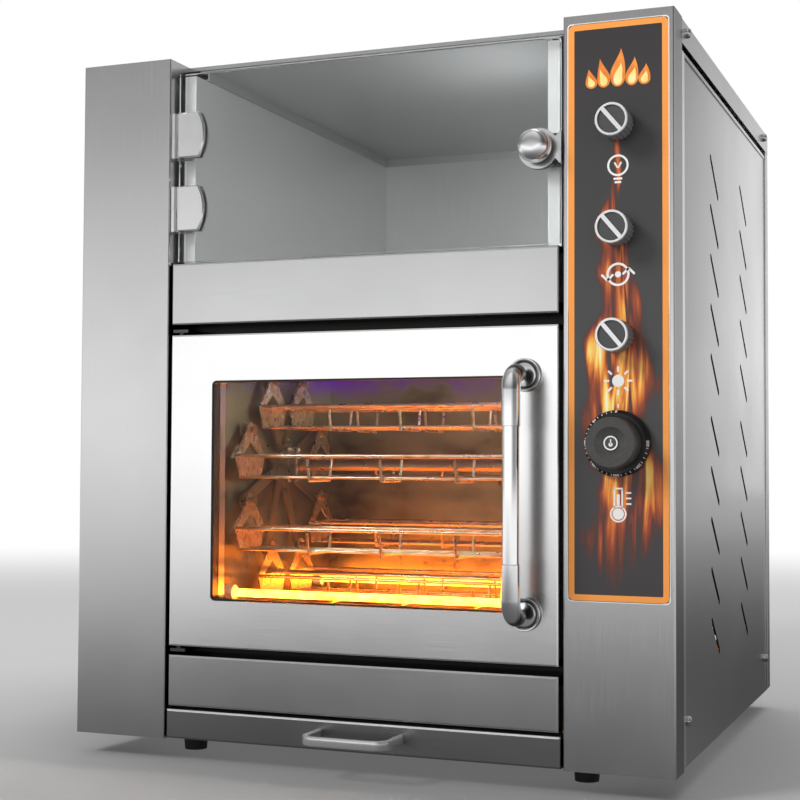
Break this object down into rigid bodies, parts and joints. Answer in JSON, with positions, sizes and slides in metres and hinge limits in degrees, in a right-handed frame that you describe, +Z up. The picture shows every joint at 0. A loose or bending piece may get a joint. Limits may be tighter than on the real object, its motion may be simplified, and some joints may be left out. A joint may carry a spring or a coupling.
{
  "type": "baked potato oven",
  "caption": "Counter-top sweet potato oven with a glass-fronted warming cabinet over a windowed oven with a rotating wheel of hanging baskets.",
  "frame": {"origin": "on the floor under the middle of the oven's extent, handle and cable gland included", "axes": "+Z up, +X to the right as the user faces the oven, -Y out of the front towards the user"},
  "size_m": [0.6288, 0.657, 0.712],
  "materials": {
    "outer_steel": "fine satin grain, vertical",
    "inner_steel": "mill finish",
    "muffle_steel": "heat-tinted mill finish",
    "rotor_steel": "bright, slightly heat-tinted",
    "basket_wire": "bright wire",
    "polished_steel": "mirror polished",
    "foot_rubber": "matte",
    "seal_rubber": "satin silicone",
    "door_glass": "clear tempered",
    "window_glass": "clear tempered",
    "lamp_glass": "frosted",
    "lamp_holder": "heat-proof white",
    "catch_plastic": "matte",
    "rope_seal": "braided glass fibre",
    "mineral_wool": "soft slab",
    "bush_brass": "turned",
    "heater_sheath": "oxidised sheath",
    "heater_cap": null,
    "motor_paint": "semi-gloss",
    "label_film": "printed film",
    "switch_body": "matte",
    "dial_black": "moulded phenolic",
    "knob_silver": "metallised face",
    "gland_plastic": "moulded nylon"
  },
  "bodies": {
    "housing": {"left_column": "outer_steel", "control_column": "outer_steel", "roof_cover": "outer_steel", "left_side_panel": "outer_steel", "right_side_panel": "outer_steel", "back_panel": "outer_steel", "shelf_front": "outer_steel", "lower_fascia": "outer_steel", "base_pan": "inner_steel", "cabinet_liner": "inner_steel", "cabinet_ceiling": "inner_steel", "cabinet_floor": "inner_steel", "front_plate": "inner_steel", "oven_hinge_brackets": "inner_steel", "motor_bracket": "inner_steel", "drawer_runners": "inner_steel", "oven_liner": "muffle_steel", "cabinet_hinge_leaves": "polished_steel", "panel_screws": "polished_steel", "rubber_feet": "foot_rubber", "lamp_lenses": "lamp_glass", "lamp_holders": "lamp_holder", "magnetic_catches": "catch_plastic", "oven_insulation": "mineral_wool", "shaft_bushes": "bush_brass", "heater_tubes": "heater_sheath", "heater_caps": "heater_cap", "gearmotor": "motor_paint", "control_label": "label_film", "rotary_switches": "switch_body", "thermostat": "switch_body", "cable_gland": "gland_plastic"},
    "cabinet_door": {"cabinet_glass": "door_glass", "glass_clamps": "polished_steel", "cabinet_knob": "polished_steel"},
    "oven_door": {"oven_door_shell": "outer_steel", "window_seal": "seal_rubber", "window_pane": "window_glass", "oven_door_inner": "inner_steel", "oven_door_seal": "rope_seal", "door_pivot_blocks": "inner_steel", "handle_tube": "polished_steel", "handle_brackets": "polished_steel"},
    "rotor": {"rotor_spiders": "rotor_steel", "rotor_shaft": "rotor_steel"},
    "upper_switch_knob": {"switch_knob_1": "knob_silver"},
    "middle_switch_knob": {"switch_knob_2": "knob_silver"},
    "lower_switch_knob": {"switch_knob_3": "knob_silver"},
    "temperature_dial": {"thermostat_dial": "dial_black"},
    "crumb_drawer": {"drawer_front": "outer_steel", "drawer_tray": "inner_steel", "drawer_handle": "polished_steel"},
    "basket_1_body": {"basket_1": "basket_wire"},
    "basket_2_body": {"basket_2": "basket_wire"},
    "basket_3_body": {"basket_3": "basket_wire"},
    "basket_4_body": {"basket_4": "basket_wire"},
    "basket_5_body": {"basket_5": "basket_wire"},
    "basket_6_body": {"basket_6": "basket_wire"},
    "basket_7_body": {"basket_7": "basket_wire"},
    "basket_8_body": {"basket_8": "basket_wire"}
  },
  "joints": [
    {"name": "cabinet_door_swing", "type": "hinge", "parent": "housing", "child": "cabinet_door", "pos_m": [-0.203, -0.27363, 0.6], "axis": [0, 0, -1], "range_deg": [0, 100]},
    {"name": "oven_door_swing", "type": "hinge", "parent": "housing", "child": "oven_door", "pos_m": [-0.1948, -0.26813, 0.27175], "axis": [0, 0, -1], "range_deg": [0, 105]},
    {"name": "crumb_drawer_slide", "type": "slide", "parent": "housing", "child": "crumb_drawer", "axis": [0, -1, 0], "range_m": [0, 0.3]},
    {"name": "rotor_spin", "type": "hinge", "parent": "housing", "child": "rotor", "pos_m": [0, -0.09093, 0.297], "axis": [1, 0, 0], "continuous": true},
    {"name": "upper_switch_turn", "type": "hinge", "parent": "housing", "child": "upper_switch_knob", "pos_m": [0.2585, -0.27613, 0.608], "axis": [0, 1, 0], "range_deg": [0, 90]},
    {"name": "middle_switch_turn", "type": "hinge", "parent": "housing", "child": "middle_switch_knob", "pos_m": [0.2585, -0.27613, 0.5115], "axis": [0, 1, 0], "range_deg": [0, 90]},
    {"name": "lower_switch_turn", "type": "hinge", "parent": "housing", "child": "lower_switch_knob", "pos_m": [0.2585, -0.27613, 0.415], "axis": [0, 1, 0], "range_deg": [0, 90]},
    {"name": "temperature_turn", "type": "hinge", "parent": "housing", "child": "temperature_dial", "pos_m": [0.2585, -0.27613, 0.3185], "axis": [0, 1, 0], "range_deg": [0, 270]},
    {"name": "basket_1_swing", "type": "hinge", "parent": "rotor", "child": "basket_1_body", "pos_m": [0, -0.18146, 0.3345], "axis": [1, 0, 0], "continuous": true},
    {"name": "basket_2_swing", "type": "hinge", "parent": "rotor", "child": "basket_2_body", "pos_m": [0, -0.12843, 0.38754], "axis": [1, 0, 0], "continuous": true},
    {"name": "basket_3_swing", "type": "hinge", "parent": "rotor", "child": "basket_3_body", "pos_m": [0, -0.05342, 0.38754], "axis": [1, 0, 0], "continuous": true},
    {"name": "basket_4_swing", "type": "hinge", "parent": "rotor", "child": "basket_4_body", "pos_m": [0, -0.00038, 0.3345], "axis": [1, 0, 0], "continuous": true},
    {"name": "basket_5_swing", "type": "hinge", "parent": "rotor", "child": "basket_5_body", "pos_m": [0, -0.00038, 0.2595], "axis": [1, 0, 0], "continuous": true},
    {"name": "basket_6_swing", "type": "hinge", "parent": "rotor", "child": "basket_6_body", "pos_m": [0, -0.05342, 0.20646], "axis": [1, 0, 0], "continuous": true},
    {"name": "basket_7_swing", "type": "hinge", "parent": "rotor", "child": "basket_7_body", "pos_m": [0, -0.12843, 0.20646], "axis": [1, 0, 0], "continuous": true},
    {"name": "basket_8_swing", "type": "hinge", "parent": "rotor", "child": "basket_8_body", "pos_m": [0, -0.18146, 0.2595], "axis": [1, 0, 0], "continuous": true}
  ],
  "couplings": [
    {"joint": "basket_1_swing", "follows": "rotor_spin", "ratio": -1},
    {"joint": "basket_2_swing", "follows": "rotor_spin", "ratio": -1},
    {"joint": "basket_3_swing", "follows": "rotor_spin", "ratio": -1},
    {"joint": "basket_4_swing", "follows": "rotor_spin", "ratio": -1},
    {"joint": "basket_5_swing", "follows": "rotor_spin", "ratio": -1},
    {"joint": "basket_6_swing", "follows": "rotor_spin", "ratio": -1},
    {"joint": "basket_7_swing", "follows": "rotor_spin", "ratio": -1},
    {"joint": "basket_8_swing", "follows": "rotor_spin", "ratio": -1}
  ]
}
